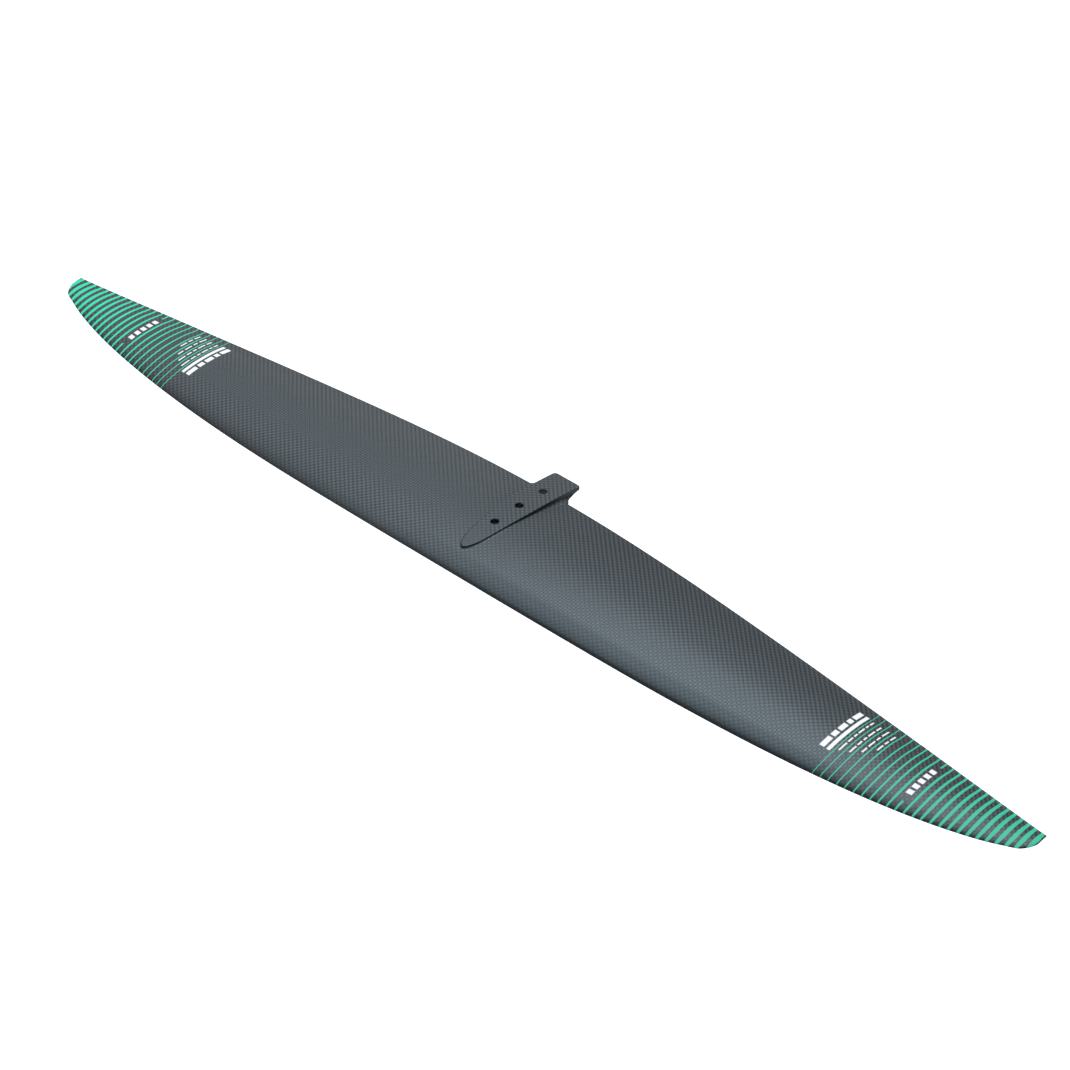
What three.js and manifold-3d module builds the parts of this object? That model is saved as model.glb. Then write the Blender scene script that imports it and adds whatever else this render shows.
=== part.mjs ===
// High-aspect hydrofoil front wing, built as a moulded carbon sandwich.
// Units are millimetres. X runs along the span, +Y is aft (towards the trailing edge), +Z is up.
// The wing is laid out in a design frame whose XY plane touches the mounting pad at the middle screw;
// the finished group is then turned about X into the attitude in which the wing rests on its two tips,
// with the origin on the pad face, halfway between the front and the middle screw.
import * as THREE from 'three';
import { mergeVertices } from 'three/addons/utils/BufferGeometryUtils.js';
import Module from 'manifold-3d';

// ---------------------------------------------------------------- driving dimensions
const K = 0.9946;                 // brings the tip-to-tip span to 1220 mm
const REST_TILT = -4.6;           // degrees about X, design frame to resting frame
const SKIN = 1.5;                 // laminate thickness of each shell
const GAP = 0.3;                  // bond-line gap kept between neighbouring pieces
const CAP_T = 1.2;                // spar cap thickness
const WEB_T = 2.4;                // shear web thickness
const SPAR = [0.26, 0.42];        // chordwise limits of the spar caps
const WEB_AT = 0.34;              // chord fraction of the shear web
const BLOCK_X = 30;               // half-width of the solid centre block
const INNER_X = 450;              // outboard end of cores, caps and webs
const HOLE_R = 4.0;               // screw clearance holes
const SCREW_Y = [-33.0, -0.3, 32.3];   // front, middle, rear screw axes
const SEAT = { r1: 8.6, r0: 5.9, h: 3.2, top: 8.0 };  // countersunk seat: outer radii, height, countersink radius

// spanwise stations: x, trailing edge y, trailing edge z, chord, nose-down pitch (degrees)
const TABLE = [
  [0, 40.19, -7.77, 142.52, 3.50], [60, 39.67, -8.35, 141.25, 3.66], [120, 38.22, -10.10, 137.47, 4.05],
  [180, 36.07, -12.84, 131.69, 4.60], [240, 33.20, -16.14, 124.18, 5.20], [300, 29.50, -19.37, 115.00, 5.76],
  [360, 25.04, -22.33, 104.20, 6.19], [420, 20.32, -25.34, 91.51, 6.39], [470, 15.98, -27.46, 79.21, 6.40],
  [520, 10.81, -28.97, 64.15, 6.40], [560, 6.68, -30.19, 49.23, 6.40], [590, 3.24, -30.59, 35.11, 6.40],
  [606, 0.91, -30.26, 25.60, 6.40], [609.6, 0.55, -30.20, 20.9, 6.40], [611.6, 0.35, -30.16, 17.2, 6.40],
  [612.9, 0.20, -30.12, 13.9, 6.40], [613.35, 0.10, -30.10, 11.2, 6.40],
];
// section: chord fraction, upper height, lower height (fractions of chord, from the chord line)
const SECTION = [
  [0, 0, 0], [0.008, 0.0102, -0.0080], [0.030, 0.0192, -0.0130], [0.060, 0.0268, -0.0160], [0.065, 0.0279, -0.0163],
  [0.12, 0.0374, -0.0196], [0.20, 0.0484, -0.0232], [0.30, 0.0580, -0.0262], [0.40, 0.0634, -0.0272], [0.52, 0.0628, -0.0250],
  [0.64, 0.0560, -0.0200], [0.76, 0.0432, -0.0137], [0.88, 0.0238, -0.0066], [0.885, 0.0230, -0.0064], [0.95, 0.0115, -0.0042], [1, 0.0040, -0.0040],
];
const LOWER_ROOT = 1.65, LOWER_TIP = 1.0;     // lower-side depth factor from root to tip
const UPPER_TIP = 1.25, UPPER_X = [60, 400];  // upper-side height factor outboard, and the span it grows over

// pad plan: y, half width at the face, half width at the foot
const PAD = [
  [-75.9, 0.4, 2.2], [-75.0, 2.2, 4.4], [-72.5, 4.2, 6.6], [-67, 6.9, 9.6], [-60, 9.0, 11.9], [-50, 10.75, 13.6], [-38, 12.3, 15.1],
  [-24.5, 13.6, 15.9], [-8.8, 14.95, 16.5], [7.6, 15.85, 18.0], [24.4, 16.2, 20.7], [32, 16.22, 22.4], [40.5, 16.25, 24.2],
];
const TONGUE = [
  [40.55, 16.25, 24.2, -8.25], [46, 16.3, 20.0, -8.2], [53, 16.4, 18.0, -8.05], [58, 16.5, 17.0, -7.75], [63.4, 16.6, 16.75, -7.3], [65.6, 15.4, 15.5, -7.1], [66.4, 13.0, 13.1, -7.05],
];
const PAD_CROWN = 2.57;           // drop of the pad face 50 mm from the middle screw

// ---------------------------------------------------------------- helpers
const rad = (d) => (d * Math.PI) / 180;
function spline(xs, ys, d0) {
  // cubic spline, slope d0 at the first knot, natural at the last
  const n = xs.length, a = [], b = [], c = [], d = [];
  for (let i = 0; i < n; i++) {
    if (i === 0) { const h = xs[1] - xs[0]; a.push(0); b.push(2 * h); c.push(h); d.push(6 * ((ys[1] - ys[0]) / h - d0)); }
    else if (i === n - 1) { a.push(0); b.push(1); c.push(0); d.push(0); }
    else {
      const h0 = xs[i] - xs[i - 1], h1 = xs[i + 1] - xs[i];
      a.push(h0); b.push(2 * (h0 + h1)); c.push(h1); d.push(6 * ((ys[i + 1] - ys[i]) / h1 - (ys[i] - ys[i - 1]) / h0));
    }
  }
  for (let i = 1; i < n; i++) { const w = a[i] / b[i - 1]; b[i] -= w * c[i - 1]; d[i] -= w * d[i - 1]; }
  const m = new Array(n); m[n - 1] = d[n - 1] / b[n - 1];
  for (let i = n - 2; i >= 0; i--) m[i] = (d[i] - c[i] * m[i + 1]) / b[i];
  return (x) => {
    let i = 0; while (i < n - 2 && x > xs[i + 1]) i++;
    const h = xs[i + 1] - xs[i], t = (x - xs[i]) / h, u = 1 - t;
    return u * ys[i] + t * ys[i + 1] + ((u * u * u - u) * m[i] + (t * t * t - t) * m[i + 1]) * h * h / 6;
  };
}
function linear(xs, ys) {
  return (x) => {
    if (x <= xs[0]) return ys[0];
    for (let i = 1; i < xs.length; i++) if (x <= xs[i]) return ys[i - 1] + (ys[i] - ys[i - 1]) * (x - xs[i - 1]) / (xs[i] - xs[i - 1]);
    return ys[ys.length - 1];
  };
}
const NSPL = 13;                  // the rounded tip past this row is read linearly
const xsT = TABLE.map((r) => r[0]);
function column(j) {
  const s = spline(xsT.slice(0, NSPL), TABLE.slice(0, NSPL).map((r) => r[j]), 0);
  const l = linear(xsT, TABLE.map((r) => r[j]));
  return (x) => (x <= xsT[NSPL - 1] ? s(x) : l(x));
}
const teY = column(1), teZ = column(2), chordAt = column(3), pitchAt = column(4);
const secS = SECTION.map((r) => r[0]);
const upF = linear(secS, SECTION.map((r) => r[1])), loF = linear(secS, SECTION.map((r) => r[2]));

// one spanwise station of the wing in the design frame
function station(xk) {
  const x = Math.abs(xk) / K;
  const c = chordAt(x), th = rad(pitchAt(x)), y1 = teY(x), z1 = teZ(x);
  const y0 = y1 - c * Math.cos(th), z0 = z1 - c * Math.sin(th);
  const lf = LOWER_ROOT + (LOWER_TIP - LOWER_ROOT) * Math.min(1, x / 420);
  const uf = UPPER_TIP - 1, grow = Math.min(1, Math.max(0, (x - UPPER_X[0]) / (UPPER_X[1] - UPPER_X[0])));
  const ease = (v) => { const w = Math.min(1, Math.max(0, v)); return w * w * (3 - 2 * w); };
  const tmin = 0.55 / c;                                    // keeps the edges at least about 1 mm thick
  const at = (s) => {
    const e = Math.min(1, s / 0.03);
    const up = Math.max(upF(s) * (1 + uf * ease(grow) * ease((1 - s) / 0.25)), tmin * e), lo = Math.min(loF(s) * (s < 0.97 ? lf : 1), -tmin * e);
    return { y: (y0 + s * c * Math.cos(th)) * K, up: (z0 + s * c * Math.sin(th) + up * c) * K, lo: (z0 + s * c * Math.sin(th) + lo * c) * K };
  };
  return { c: c * K, at, sOf: (y) => (y / K - y0) / (c * Math.cos(th)) };
}

// closed loft through strips: every station is a list of [y, top, bottom] at one x
function loftX(xs, stripAt) {
  const pos = [], idx = [];
  const strips = xs.map((x) => stripAt(x));
  const n = strips[0].length;
  strips.forEach((s, i) => { for (const p of s) pos.push(xs[i], p[0], p[1]); for (const p of s) pos.push(xs[i], p[0], p[2]); });
  const T = (i, j) => i * 2 * n + j, B = (i, j) => i * 2 * n + n + j;
  const quad = (a, b, c, d) => idx.push(a, b, c, a, c, d);
  for (let i = 0; i < xs.length - 1; i++) {
    for (let j = 0; j < n - 1; j++) { quad(T(i, j), T(i + 1, j), T(i + 1, j + 1), T(i, j + 1)); quad(B(i, j), B(i, j + 1), B(i + 1, j + 1), B(i + 1, j)); }
    quad(T(i, 0), B(i, 0), B(i + 1, 0), T(i + 1, 0));
    quad(T(i, n - 1), T(i + 1, n - 1), B(i + 1, n - 1), B(i, n - 1));
  }
  const e = xs.length - 1;
  for (let j = 0; j < n - 1; j++) { quad(T(0, j), T(0, j + 1), B(0, j + 1), B(0, j)); quad(T(e, j), B(e, j), B(e, j + 1), T(e, j + 1)); }
  return build(pos, idx);
}
// closed loft through rings: every station is a closed ring of [x, z] at one y, seen from the front, counter-clockwise
function loftY(rings) {
  const pos = [], idx = [], n = rings[0].pts.length;
  for (const r of rings) for (const p of r.pts) pos.push(p[0], r.y, p[1]);
  for (let i = 0; i < rings.length - 1; i++) for (let j = 0; j < n; j++) {
    const k = (j + 1) % n, a = i * n + j, b = i * n + k, c = (i + 1) * n + k, d = (i + 1) * n + j;
    idx.push(a, b, c, a, c, d);
  }
  const half = n / 2;                                        // rings are symmetric: cap as strips from side to side
  for (const [i, flip] of [[0, true], [rings.length - 1, false]]) {
    for (let j = 0; j < half - 1; j++) {
      const a = i * n + j, b = i * n + j + 1, c = i * n + n - 2 - j, d = i * n + n - 1 - j;
      if (flip) idx.push(a, c, b, a, d, c); else idx.push(a, b, c, a, c, d);
    }
  }
  return build(pos, idx);
}
function build(pos, idx) {
  const g = new THREE.BufferGeometry();
  g.setAttribute('position', new THREE.Float32BufferAttribute(pos, 3));
  g.setIndex(idx);
  if (volume(g) < 0) { const a = g.getIndex().array; for (let i = 0; i < a.length; i += 3) { const t = a[i + 1]; a[i + 1] = a[i + 2]; a[i + 2] = t; } }
  return g;
}
function volume(g) {
  const p = g.getAttribute('position').array, a = g.getIndex().array; let v = 0;
  for (let i = 0; i < a.length; i += 3) {
    const [x, y, z] = [a[i] * 3, a[i + 1] * 3, a[i + 2] * 3];
    v += p[x] * (p[y + 1] * p[z + 2] - p[y + 2] * p[z + 1]) - p[x + 1] * (p[y] * p[z + 2] - p[y + 2] * p[z]) + p[x + 2] * (p[y] * p[z + 1] - p[y + 1] * p[z]);
  }
  return v / 6;
}

const wasm = await Module();
wasm.setup();
function solid(geometry) {
  let g = geometry.clone(); g.deleteAttribute('normal'); g.deleteAttribute('uv'); g = mergeVertices(g, 1e-4);
  return new wasm.Manifold(new wasm.Mesh({ numProp: 3, vertProperties: new Float32Array(g.getAttribute('position').array), triVerts: new Uint32Array(g.getIndex().array) }));
}
function geometryOf(m) {
  const q = m.getMesh(); const g = new THREE.BufferGeometry(); const v = new Float32Array((q.vertProperties.length / q.numProp) * 3);
  for (let i = 0; i < v.length / 3; i++) for (let k = 0; k < 3; k++) v[i * 3 + k] = q.vertProperties[i * q.numProp + k];
  g.setAttribute('position', new THREE.BufferAttribute(v, 3)); g.setIndex(Array.from(q.triVerts)); return g;
}
function turned(points, segments, x, y, z) {                 // body of revolution about Z
  const g = new THREE.LatheGeometry(points.map((p) => new THREE.Vector2(p[0], p[1])), segments);
  g.rotateX(Math.PI / 2); g.translate(x, y, z); return g;
}

// ---------------------------------------------------------------- the wing
const group = new THREE.Group();
const wing = new THREE.Group();
group.add(wing);
const MAT = {
  skin: () => new THREE.MeshStandardMaterial({ color: 0x4c5256, roughness: 0.48, metalness: 0.0 }),
  pad: () => new THREE.MeshStandardMaterial({ color: 0x474c50, roughness: 0.5, metalness: 0.0 }),
  carbon: () => new THREE.MeshStandardMaterial({ color: 0x26282a, roughness: 0.6, metalness: 0.0 }),
  foam: () => new THREE.MeshStandardMaterial({ color: 0xd8cfae, roughness: 0.95, metalness: 0.0 }),
  resin: () => new THREE.MeshStandardMaterial({ color: 0x8a7f66, roughness: 0.5, metalness: 0.0 }),
  seat: () => new THREE.MeshStandardMaterial({ color: 0x9a9da0, roughness: 0.35, metalness: 0.9 }),
};
function add(name, geometry, material) {
  const m = new THREE.Mesh(geometry, material()); m.name = name; wing.add(m); return m;
}
const mirrorX = (xs, side) => (side > 0 ? xs : xs.map((x) => -x).reverse());
const SPAN = [0, 24, 60, 110, 165, 220, 275, 330, 385, 435, 480, 520, 552, 578, 596, 605.6, 609.4, 611.6, 612.9, 613.35].map((x) => x * K);
const fullSpan = [...SPAN.slice(1).map((x) => -x).reverse(), ...SPAN];
const hasCavity = (s) => s >= 0.0649 && s <= 0.8801;

// The two shells meet on the bond line, which follows the middle of the section.
const middle = (st, s) => { const p = st.at(s); return (p.up + p.lo) / 2; };
const upperStrip = (x) => { const st = station(x); return secS.map((s) => { const p = st.at(s), m = (p.up + p.lo) / 2; return [p.y, Math.max(p.up, m + GAP), hasCavity(s) ? Math.max(p.up - SKIN, m + GAP / 2) : m + GAP / 2]; }); };
const lowerStrip = (x) => { const st = station(x); return secS.map((s) => { const p = st.at(s), m = (p.up + p.lo) / 2; return [p.y, hasCavity(s) ? Math.min(p.lo + SKIN, m - GAP / 2) : m - GAP / 2, Math.min(p.lo, m - GAP)]; }); };

// A filling between the shells from chord fraction a to b. Under the spar caps it is reduced by their thickness.
function filling(a, b, da, db, underCaps, n = 5) {
  return (x) => {
    const st = station(x), out = [], c = st.c, sa = a + da / c, sb = b + db / c;
    let ss = [];
    for (let i = 0; i <= n; i++) ss.push(sa + ((sb - sa) * i) / n);
    const c0 = SPAR[0] - GAP / c, c1 = SPAR[1] + GAP / c;
    if (underCaps) { for (const q of [c0, c1]) if (q > sa && q < sb) ss.push(q - 0.0004, q + 0.0004); ss.sort((p, q) => p - q); }
    for (const s of ss) {
      const p = st.at(s), k = underCaps && s > c0 && s < c1 ? CAP_T + GAP : 0;
      out.push([p.y, p.up - SKIN - GAP - k, p.lo + SKIN + GAP + k]);
    }
    return out;
  };
}
const capStrip = (upper) => (x) => {
  const st = station(x), out = [];
  for (let i = 0; i <= 3; i++) {
    const p = st.at(SPAR[0] + ((SPAR[1] - SPAR[0]) * i) / 3), t = p.up - SKIN - GAP, b = p.lo + SKIN + GAP;
    out.push(upper ? [p.y, t, t - CAP_T] : [p.y, b + CAP_T, b]);
  }
  return out;
};
const webStrip = (x) => {
  const st = station(x), c = st.c;
  return [-1, 1].map((k) => { const p = st.at(WEB_AT + (k * WEB_T) / 2 / c), d = SKIN + 2 * GAP + CAP_T; return [p.y, p.up - d, p.lo + d]; });
};

// screw axes, countersunk seats and the tools that clear them
const screws = SCREW_Y.map((y, i) => {
  const st = station(0), z = st.at(st.sOf(y * K)).lo + 0.25;
  return { name: ['front', 'middle', 'rear'][i], y: y * K, z };
});
const SEG = 24;
const clearance = screws.map((s) => solid(turned([[0, -30], [HOLE_R, -30], [HOLE_R, 30], [0, 30]], SEG, 0, s.y, 0))
  .add(solid(turned([[0, -12], [SEAT.r1 + GAP, -12], [SEAT.r1 + GAP, 0.5 + GAP], [SEAT.r0 + GAP, SEAT.h + GAP], [0, SEAT.h + GAP]], SEG, 0, s.y, s.z))));
const drill = (geometry) => { let m = solid(geometry); for (const c of clearance) m = m.subtract(c); return geometryOf(m); };

add('upper_skin', drill(loftX(fullSpan, upperStrip)), MAT.skin);
add('lower_skin', drill(loftX(fullSpan, lowerStrip)), MAT.skin);

// solid laminate block in the middle, between the shells, that takes the screw clamping load
const blockXs = [-1, -0.5, 0, 0.5, 1].map((t) => t * BLOCK_X);
add('centre_block', drill(loftX(blockXs, filling(0.07, 0.875, 1, 0, true, 9))), MAT.carbon);

const innerXs = (x1, n) => Array.from({ length: n + 1 }, (_, i) => BLOCK_X + 2 * GAP + ((x1 - BLOCK_X - 2 * GAP) * i) / n);
const capXs = [-1, -0.86, -0.72, -0.58, -0.44, -0.3, -0.15, 0, 0.15, 0.3, 0.44, 0.58, 0.72, 0.86, 1].map((t) => t * INNER_X * K);
add('upper_spar_cap', loftX(capXs, capStrip(true)), MAT.carbon);
add('lower_spar_cap', loftX(capXs, capStrip(false)), MAT.carbon);
for (const [tag, side] of [['left', -1], ['right', 1]]) {
  const run = (x1, n) => mirrorX(innerXs(x1 * K, n), side);
  add(`shear_web_${tag}`, loftX(run(INNER_X, 7), webStrip), MAT.carbon);
  add(`leading_edge_filler_${tag}`, loftX(run(380, 7), filling(0.07, 0.125, 0, 0, false, 2)), MAT.resin);
  add(`front_core_${tag}`, loftX(run(INNER_X, 8), filling(0.125, WEB_AT, GAP, -WEB_T / 2 - GAP, true, 3)), MAT.foam);
  add(`rear_core_${tag}`, loftX(run(INNER_X, 8), filling(WEB_AT, 0.78, WEB_T / 2 + GAP, 0, true, 4)), MAT.foam);
  add(`trailing_edge_filler_${tag}`, loftX(run(330, 6), filling(0.78, 0.84, GAP, 0, false, 2)), MAT.resin);
  const tip = [INNER_X + 1, 474, 497, 520].map((x) => x * K);
  add(`tip_block_${tag}`, loftX(mirrorX(tip, side), filling(0.20, 0.66, 0, 0, false, 4)), MAT.carbon);
}

// mounting pad with its rear tongue, moulded solid and bonded on the upper shell
const face = (y) => -PAD_CROWN * (y / 50) ** 2;
function padRing(y, w, foot, bottom) {
  const f = face(y), top = f * K, bot = Math.min(bottom, top - 0.35), h = top - bot;
  const side = [[w, top], [w + (foot - w) * 0.10, top - 0.38 * h], [w + (foot - w) * 0.42, top - 0.76 * h], [foot, bot]];
  const right = side.map((p) => [p[0] * K, p[1]]);
  const ring = [[right[0][0] * 0.34, top], ...right, [foot * K * 0.34, bot]];
  const left = ring.slice().reverse().map((p) => [-p[0], p[1]]);
  return [...ring, ...left];
}
const skinTop = (y, x) => { const st = station(x); return st.at(Math.min(1, st.sOf(y))).up; };
const rings = PAD.map(([y, w, foot]) => ({ y: y * K, pts: padRing(y, w, foot, skinTop(y * K, 0) + GAP) }))
  .concat(TONGUE.map(([y, w, foot, zb]) => ({ y: y * K, pts: padRing(y, w, foot, zb * K) })));
// the foot follows the skin: no point of the pad ahead of the trailing edge may dip into it
for (const r of rings) if (r.y < 40.52 * K) for (const p of r.pts) { const z = skinTop(r.y, p[0]) + GAP; if (p[1] < z) p[1] = z; }
add('mounting_pad', drill(loftY(rings)), MAT.pad);

for (const s of screws) {
  const ring = [[HOLE_R + 0.2, SEAT.h - 0.01], [HOLE_R + 0.2, 3.0], [SEAT.top - 0.6, 0], [SEAT.r1, 0], [SEAT.r1, 0.5], [SEAT.r0, SEAT.h - 0.01]];
  ring.push(ring[0]);
  let g = turned(ring, SEG, 0, s.y, s.z); g.deleteAttribute('normal'); g.deleteAttribute('uv'); g = mergeVertices(g, 1e-4);
  if (volume(g) < 0) { const a = g.getIndex().array; for (let i = 0; i < a.length; i += 3) { const t = a[i + 1]; a[i + 1] = a[i + 2]; a[i + 2] = t; } }
  add(`screw_seat_${s.name}`, g, MAT.seat);
}

// design frame to resting frame
const originY = ((SCREW_Y[0] + SCREW_Y[1]) / 2) * K;
const originZ = ((face(-24.5) + face(-8.8)) / 2) * K;       // that point lies on a flat facet of the pad
wing.position.set(0, -originY, -originZ);
group.rotation.x = rad(REST_TILT);
export default group;
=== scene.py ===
import math

import bmesh
import bpy
import numpy as np
from mathutils import Matrix, Vector


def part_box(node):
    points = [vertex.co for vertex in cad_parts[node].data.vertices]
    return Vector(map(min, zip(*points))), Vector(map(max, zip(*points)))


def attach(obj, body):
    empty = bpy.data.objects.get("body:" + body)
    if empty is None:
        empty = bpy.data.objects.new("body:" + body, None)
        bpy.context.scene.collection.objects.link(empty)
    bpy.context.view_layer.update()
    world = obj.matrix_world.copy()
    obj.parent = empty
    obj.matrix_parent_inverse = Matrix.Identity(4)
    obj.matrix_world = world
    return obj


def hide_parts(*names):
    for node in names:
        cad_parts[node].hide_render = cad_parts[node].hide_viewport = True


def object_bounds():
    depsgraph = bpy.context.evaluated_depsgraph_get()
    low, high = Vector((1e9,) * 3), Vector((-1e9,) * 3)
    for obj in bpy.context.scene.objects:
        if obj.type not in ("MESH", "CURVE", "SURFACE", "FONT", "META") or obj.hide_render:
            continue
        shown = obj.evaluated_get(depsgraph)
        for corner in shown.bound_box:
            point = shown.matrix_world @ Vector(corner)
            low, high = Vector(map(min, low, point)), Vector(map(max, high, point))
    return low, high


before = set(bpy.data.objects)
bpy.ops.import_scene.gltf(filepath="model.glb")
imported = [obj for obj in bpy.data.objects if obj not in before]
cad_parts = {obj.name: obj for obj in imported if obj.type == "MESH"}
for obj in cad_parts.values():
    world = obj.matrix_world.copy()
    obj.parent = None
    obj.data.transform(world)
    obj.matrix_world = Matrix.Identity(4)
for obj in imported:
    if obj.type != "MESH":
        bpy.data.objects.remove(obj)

CAD_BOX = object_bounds()
SCN = bpy.context.scene

# ---------------------------------------------------------------------------
# Shape tables. Design frame: x span, y aft, z up, millimetres before scale K.
# ---------------------------------------------------------------------------
K = 0.9946
TILT = math.radians(-4.6)
CROWN = 2.57
SCREW_Y = [-33.0, -0.3, 32.3]
HOLE_R = 4.0
SEAT_R, SEAT_UP = 8.6, 0.25

TABLE = np.array([
    [0, 40.19, -7.77, 142.52, 3.50], [60, 39.67, -8.35, 141.25, 3.66], [120, 38.22, -10.10, 137.47, 4.05],
    [180, 36.07, -12.84, 131.69, 4.60], [240, 33.20, -16.14, 124.18, 5.20], [300, 29.50, -19.37, 115.00, 5.76],
    [360, 25.04, -22.33, 104.20, 6.19], [420, 20.32, -25.34, 91.51, 6.39], [470, 15.98, -27.46, 79.21, 6.40],
    [520, 10.81, -28.97, 64.15, 6.40], [560, 6.68, -30.19, 49.23, 6.40], [590, 3.24, -30.59, 35.11, 6.40],
    [606, 0.91, -30.26, 25.60, 6.40], [609.6, 0.55, -30.20, 20.9, 6.40], [611.6, 0.35, -30.16, 17.2, 6.40],
    [612.9, 0.20, -30.12, 13.9, 6.40], [613.35, 0.10, -30.10, 11.2, 6.40]])
SS = np.array([0, .008, .03, .06, .12, .2, .3, .4, .52, .64, .76, .88, .95, 1])
UP = np.array([0, .0102, .0192, .0268, .0374, .0484, .0580, .0634, .0628, .0560, .0432, .0238, .0115, .0040])
LO = np.array([0, .0080, .0130, .0160, .0196, .0232, .0262, .0272, .0250, .0200, .0137, .0066, .0042, .0040])
UPPER_TIP, UPPER_X = 1.25, (60.0, 400.0)
LOWER_ROOT, LOWER_TIP = 1.65, 1.0

PAD = np.array([
    [-75.9, .4, 2.2], [-75, 2.2, 4.4], [-72.5, 4.2, 6.6], [-67, 6.9, 9.6], [-60, 9, 11.9], [-50, 10.75, 13.6],
    [-38, 12.3, 15.1], [-24.5, 13.6, 15.9], [-8.8, 14.95, 16.5], [7.6, 15.85, 18], [24.4, 16.2, 20.7],
    [32, 16.22, 22.4], [40.5, 16.25, 24.2]])
TONGUE = np.array([
    [40.55, 16.25, 24.2, -8.25], [46, 16.3, 20, -8.2], [53, 16.4, 18, -8.05], [58, 16.5, 17, -7.75],
    [63.4, 16.6, 16.75, -7.3], [66.7, 16.7, 16.75, -7.05]])


def spline(xs, ys, d0=0.0):
    """Cubic spline with slope d0 at the start and a natural end."""
    xs, ys = np.asarray(xs, float), np.asarray(ys, float)
    n = len(xs); A = np.zeros((n, n)); r = np.zeros(n); h = np.diff(xs)
    A[0, 0] = 2 * h[0]; A[0, 1] = h[0]; r[0] = 6 * ((ys[1] - ys[0]) / h[0] - d0)
    A[-1, -1] = 1
    for i in range(1, n - 1):
        A[i, i - 1] = h[i - 1]; A[i, i] = 2 * (h[i - 1] + h[i]); A[i, i + 1] = h[i]
        r[i] = 6 * ((ys[i + 1] - ys[i]) / h[i] - (ys[i] - ys[i - 1]) / h[i - 1])
    m = np.linalg.solve(A, r)

    def f(x):
        x = np.asarray(x, float)
        i = np.clip(np.searchsorted(xs, x, side="right") - 1, 0, n - 2)
        hh = h[i]; t = (x - xs[i]) / hh; u = 1 - t
        return u * ys[i] + t * ys[i + 1] + ((u**3 - u) * m[i] + (t**3 - t) * m[i + 1]) * hh * hh / 6
    return f


def pchip(xs, ys):
    """Monotone cubic through the points."""
    xs, ys = np.asarray(xs, float), np.asarray(ys, float)
    h = np.diff(xs); d = np.diff(ys) / h
    m = np.zeros(len(xs)); m[0], m[-1] = d[0], d[-1]
    for i in range(1, len(xs) - 1):
        if d[i - 1] * d[i] > 0:
            w1, w2 = 2 * h[i] + h[i - 1], h[i] + 2 * h[i - 1]
            m[i] = (w1 + w2) / (w1 / d[i - 1] + w2 / d[i])

    def f(x):
        x = np.clip(np.asarray(x, float), xs[0], xs[-1])
        i = np.clip(np.searchsorted(xs, x, side="right") - 1, 0, len(xs) - 2)
        t = (x - xs[i]) / h[i]
        return ((1 + 2 * t) * (1 - t)**2 * ys[i] + t * (1 - t)**2 * h[i] * m[i]
                + t * t * (3 - 2 * t) * ys[i + 1] + t * t * (t - 1) * h[i] * m[i + 1])
    return f


# The rounded tip is smooth in the root of the distance to the tip.
TIP_X, TIP_0 = TABLE[-1, 0], 590.0


def column(j):
    main = spline(TABLE[:13, 0], TABLE[:13, j])
    rows = TABLE[11:]
    q0 = math.sqrt(TIP_X - TIP_0)
    slope = float(main(TIP_0) - main(TIP_0 - 0.5)) / 0.5
    tip = spline(q0 - np.sqrt(TIP_X - rows[:, 0]), rows[:, j], slope * 2 * q0)

    def f(x):
        x = np.asarray(x, float)
        return np.where(x <= TIP_0, main(np.minimum(x, TIP_0)), tip(q0 - np.sqrt(np.clip(TIP_X - x, 0, None))))
    return f


te_y, te_z, chord_at, pitch_at = (column(j) for j in (1, 2, 3, 4))
up_q, lo_q = spline(np.sqrt(SS), UP, .120), spline(np.sqrt(SS), LO, .098)


def ease(v):
    v = np.clip(v, 0, 1)
    return v * v * (3 - 2 * v)


def station(xk):
    x = np.abs(np.asarray(xk, float)) / K
    c, th = chord_at(x), np.radians(pitch_at(x))
    return x, c, th, te_y(x) - c * np.cos(th), te_z(x) - c * np.sin(th)


def height(x, c, s, upper):
    q = np.sqrt(np.clip(s, 0, 1)); e = np.clip(s / .03, 0, 1); tm = .55 / c
    if upper:
        grow = ease((x - UPPER_X[0]) / (UPPER_X[1] - UPPER_X[0]))
        return np.maximum(up_q(q) * (1 + (UPPER_TIP - 1) * grow * ease((1 - s) / .25)), tm * e)
    lf = LOWER_ROOT + (LOWER_TIP - LOWER_ROOT) * np.clip(x / 420, 0, 1)
    return np.minimum(-lo_q(q) * (1 + (lf - 1) * ease((1 - s) / .06)), -tm * e)


def surf(xk, s, upper=True, inward=None, off=0.0):
    """Wing surface point in scaled design millimetres. inward: depth of the hidden side below the surface."""
    x, c, th, y0, z0 = station(xk)
    s = np.asarray(s, float)
    h = height(x, c, s, upper)
    if inward is not None:
        d = inward / c
        h = np.maximum(h - d, 0) if upper else np.minimum(h + d, 0)
    h = h + (off if upper else -off) / c
    X = np.asarray(xk, float) + 0 * s
    return np.stack(np.broadcast_arrays(X, (y0 + s * c * np.cos(th) - h * c * np.sin(th) * 0) * K,
                                        (z0 + s * c * np.sin(th) + h * c) * K), -1)


def chord_pos(xk, yk):
    """Chord fraction of a plan position."""
    x, c, th, y0, z0 = station(xk)
    return (np.asarray(yk) / K - y0) / (c * np.cos(th))


def skin_z(xk, yk, upper=True):
    s = np.clip(chord_pos(xk, yk), 0, 1)
    return surf(xk, s, upper)[..., 2]


def face_z(y):
    return -CROWN * (np.asarray(y, float) / 50.0)**2


ORIGIN = np.array([0, (SCREW_Y[0] + SCREW_Y[1]) / 2 * K, (float(face_z(-24.5)) + float(face_z(-8.8))) / 2 * K])
CT, ST = math.cos(TILT), math.sin(TILT)


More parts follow.
